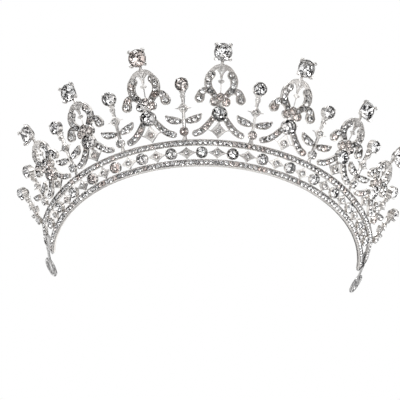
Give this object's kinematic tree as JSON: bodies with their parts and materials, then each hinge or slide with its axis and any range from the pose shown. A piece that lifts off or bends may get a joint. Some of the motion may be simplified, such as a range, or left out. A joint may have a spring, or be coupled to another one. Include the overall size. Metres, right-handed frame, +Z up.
{
  "type": "bridal tiara",
  "caption": "Bridal tiara: pierced silver-coloured half-round band that flares outwards, set with clear round stones in fleur motifs and stems, an eye at each end.",
  "frame": {"origin": "middle of the footprint, on the surface that the lower rail stands on", "axes": "+Z up, the front of the tiara faces -Y, +X to its wearer's left when worn facing -Y"},
  "size_m": [0.2096, 0.143, 0.0455],
  "materials": {
    "silver": "bright rhodium-coloured plating on cast metal, grained edges",
    "plain_silver": "plain plated metal, softly polished",
    "crystal": "clear faceted glass stones, foiled backs"
  },
  "bodies": {
    "root": {"lower_rail": "silver", "upper_rail": "silver", "gallery_strip": "silver", "centre_fleur_frame": "silver", "centre_round_stone": "crystal", "centre_claw_setting": "silver", "centre_crown_stone": "crystal", "left_1_fleur_frame": "silver", "left_1_round_stone": "crystal", "left_1_claw_setting": "silver", "left_1_crown_stone": "crystal", "left_2_fleur_frame": "silver", "left_2_round_stone": "crystal", "left_2_claw_setting": "silver", "left_2_crown_stone": "crystal", "left_3_fleur_frame": "silver", "left_3_round_stone": "crystal", "left_3_claw_setting": "silver", "left_3_crown_stone": "crystal", "right_1_fleur_frame": "silver", "right_1_round_stone": "crystal", "right_1_claw_setting": "silver", "right_1_crown_stone": "crystal", "right_2_fleur_frame": "silver", "right_2_round_stone": "crystal", "right_2_claw_setting": "silver", "right_2_crown_stone": "crystal", "right_3_fleur_frame": "silver", "right_3_round_stone": "crystal", "right_3_claw_setting": "silver", "right_3_crown_stone": "crystal", "left_1_stem_frame": "silver", "left_1_stem_stone": "crystal", "left_2_stem_frame": "silver", "left_2_stem_stone": "crystal", "left_3_stem_frame": "silver", "left_3_stem_stone": "crystal", "left_4_stem_frame": "silver", "left_4_stem_stone": "crystal", "left_5_stem_frame": "silver", "left_5_stem_stone": "crystal", "right_1_stem_frame": "silver", "right_1_stem_stone": "crystal", "right_2_stem_frame": "silver", "right_2_stem_stone": "crystal", "right_3_stem_frame": "silver", "right_3_stem_stone": "crystal", "right_4_stem_frame": "silver", "right_4_stem_stone": "crystal", "right_5_stem_frame": "silver", "right_5_stem_stone": "crystal", "left_end_block": "plain_silver", "left_end_eye": "plain_silver", "right_end_block": "plain_silver", "right_end_eye": "plain_silver"}
  },
  "joints": []
}
